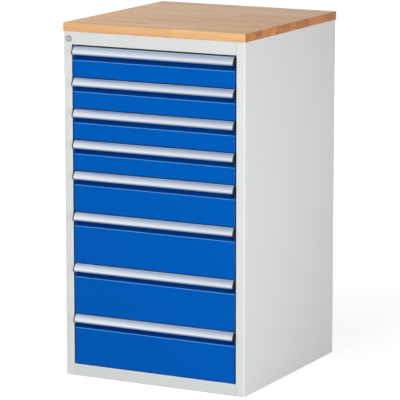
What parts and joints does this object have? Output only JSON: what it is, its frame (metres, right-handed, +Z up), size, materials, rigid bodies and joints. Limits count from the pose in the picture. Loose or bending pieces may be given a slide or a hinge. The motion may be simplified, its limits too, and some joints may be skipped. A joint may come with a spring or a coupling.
{
  "type": "drawer cabinet",
  "caption": "Free-standing steel drawer cabinet with full-width grip handles, telescopic runners, a central lock and a beech worktop.",
  "frame": {"origin": "on the floor, under the centre of the whole cabinet with its drawers shut", "axes": "+Z up, -Y out of the drawer fronts, +X to the right seen from the front"},
  "size_m": [0.58, 0.6104, 1.03],
  "materials": {
    "body_grey": "fine-textured light grey powder coat",
    "front_blue": "smooth satin blue powder coat",
    "pan_grey": "light grey powder coat",
    "beech": "oiled solid beech, glued staves",
    "handle_aluminium": "drawn, silver anodised",
    "cap_black": "moulded, fine matt",
    "zinc_steel": "zinc plated",
    "lock_chrome": "polished"
  },
  "bodies": {
    "cabinet": {"side_panel_left": "body_grey", "side_panel_right": "body_grey", "back_panel": "body_grey", "base_panel": "body_grey", "top_panel": "body_grey", "front_top_rail": "body_grey", "front_bottom_rail": "body_grey", "worktop": "beech", "worktop_screws": "zinc_steel", "rail_uprights_left": "zinc_steel", "rail_uprights_right": "zinc_steel", "cabinet_rails_left": "zinc_steel", "cabinet_rails_right": "zinc_steel", "lock_housing": "lock_chrome", "lock_nut": "zinc_steel", "lock_bar_guides": "zinc_steel"},
    "drawer_1": {"drawer_1_front": "front_blue", "drawer_1_pan": "pan_grey", "drawer_1_handle": "handle_aluminium", "drawer_1_handle_caps": "cap_black"},
    "carriage_1": {"drawer_1_carriage": "zinc_steel"},
    "drawer_2": {"drawer_2_front": "front_blue", "drawer_2_pan": "pan_grey", "drawer_2_handle": "handle_aluminium", "drawer_2_handle_caps": "cap_black"},
    "carriage_2": {"drawer_2_carriage": "zinc_steel"},
    "drawer_3": {"drawer_3_front": "front_blue", "drawer_3_pan": "pan_grey", "drawer_3_handle": "handle_aluminium", "drawer_3_handle_caps": "cap_black"},
    "carriage_3": {"drawer_3_carriage": "zinc_steel"},
    "drawer_4": {"drawer_4_front": "front_blue", "drawer_4_pan": "pan_grey", "drawer_4_handle": "handle_aluminium", "drawer_4_handle_caps": "cap_black"},
    "carriage_4": {"drawer_4_carriage": "zinc_steel"},
    "drawer_5": {"drawer_5_front": "front_blue", "drawer_5_pan": "pan_grey", "drawer_5_handle": "handle_aluminium", "drawer_5_handle_caps": "cap_black"},
    "carriage_5": {"drawer_5_carriage": "zinc_steel"},
    "drawer_6": {"drawer_6_front": "front_blue", "drawer_6_pan": "pan_grey", "drawer_6_handle": "handle_aluminium", "drawer_6_handle_caps": "cap_black"},
    "carriage_6": {"drawer_6_carriage": "zinc_steel"},
    "drawer_7": {"drawer_7_front": "front_blue", "drawer_7_pan": "pan_grey", "drawer_7_handle": "handle_aluminium", "drawer_7_handle_caps": "cap_black"},
    "carriage_7": {"drawer_7_carriage": "zinc_steel"},
    "drawer_8": {"drawer_8_front": "front_blue", "drawer_8_pan": "pan_grey", "drawer_8_handle": "handle_aluminium", "drawer_8_handle_caps": "cap_black"},
    "carriage_8": {"drawer_8_carriage": "zinc_steel"},
    "lock": {"lock_cylinder": "lock_chrome", "lock_cam": "zinc_steel", "lock_cam_screw": "zinc_steel"},
    "lock_bar": {"lock_bar": "zinc_steel"}
  },
  "joints": [
    {"name": "drawer_1_slide", "type": "slide", "parent": "cabinet", "child": "drawer_1", "axis": [0, -1, 0], "range_m": [0, 0.5]},
    {"name": "carriage_1_slide", "type": "slide", "parent": "cabinet", "child": "carriage_1", "axis": [0, -1, 0], "range_m": [0, 0.25]},
    {"name": "drawer_2_slide", "type": "slide", "parent": "cabinet", "child": "drawer_2", "axis": [0, -1, 0], "range_m": [0, 0.5]},
    {"name": "carriage_2_slide", "type": "slide", "parent": "cabinet", "child": "carriage_2", "axis": [0, -1, 0], "range_m": [0, 0.25]},
    {"name": "drawer_3_slide", "type": "slide", "parent": "cabinet", "child": "drawer_3", "axis": [0, -1, 0], "range_m": [0, 0.5]},
    {"name": "carriage_3_slide", "type": "slide", "parent": "cabinet", "child": "carriage_3", "axis": [0, -1, 0], "range_m": [0, 0.25]},
    {"name": "drawer_4_slide", "type": "slide", "parent": "cabinet", "child": "drawer_4", "axis": [0, -1, 0], "range_m": [0, 0.5]},
    {"name": "carriage_4_slide", "type": "slide", "parent": "cabinet", "child": "carriage_4", "axis": [0, -1, 0], "range_m": [0, 0.25]},
    {"name": "drawer_5_slide", "type": "slide", "parent": "cabinet", "child": "drawer_5", "axis": [0, -1, 0], "range_m": [0, 0.5]},
    {"name": "carriage_5_slide", "type": "slide", "parent": "cabinet", "child": "carriage_5", "axis": [0, -1, 0], "range_m": [0, 0.25]},
    {"name": "drawer_6_slide", "type": "slide", "parent": "cabinet", "child": "drawer_6", "axis": [0, -1, 0], "range_m": [0, 0.5]},
    {"name": "carriage_6_slide", "type": "slide", "parent": "cabinet", "child": "carriage_6", "axis": [0, -1, 0], "range_m": [0, 0.25]},
    {"name": "drawer_7_slide", "type": "slide", "parent": "cabinet", "child": "drawer_7", "axis": [0, -1, 0], "range_m": [0, 0.5]},
    {"name": "carriage_7_slide", "type": "slide", "parent": "cabinet", "child": "carriage_7", "axis": [0, -1, 0], "range_m": [0, 0.25]},
    {"name": "drawer_8_slide", "type": "slide", "parent": "cabinet", "child": "drawer_8", "axis": [0, -1, 0], "range_m": [0, 0.5]},
    {"name": "carriage_8_slide", "type": "slide", "parent": "cabinet", "child": "carriage_8", "axis": [0, -1, 0], "range_m": [0, 0.25]},
    {"name": "lock_turn", "type": "hinge", "parent": "cabinet", "child": "lock", "pos_m": [-0.2715, -0.29425, 0.985], "axis": [0, 1, 0], "range_deg": [0, 90.01]},
    {"name": "lock_bar_slide", "type": "slide", "parent": "cabinet", "child": "lock_bar", "axis": [0, 0, 1], "range_m": [0, 0.01]}
  ],
  "couplings": [
    {"joint": "carriage_1_slide", "follows": "drawer_1_slide", "ratio": 0.5},
    {"joint": "carriage_2_slide", "follows": "drawer_2_slide", "ratio": 0.5},
    {"joint": "carriage_3_slide", "follows": "drawer_3_slide", "ratio": 0.5},
    {"joint": "carriage_4_slide", "follows": "drawer_4_slide", "ratio": 0.5},
    {"joint": "carriage_5_slide", "follows": "drawer_5_slide", "ratio": 0.5},
    {"joint": "carriage_6_slide", "follows": "drawer_6_slide", "ratio": 0.5},
    {"joint": "carriage_7_slide", "follows": "drawer_7_slide", "ratio": 0.5},
    {"joint": "carriage_8_slide", "follows": "drawer_8_slide", "ratio": 0.5},
    {"joint": "lock_turn", "follows": "lock_bar_slide", "rad_per_m": 157.08}
  ]
}
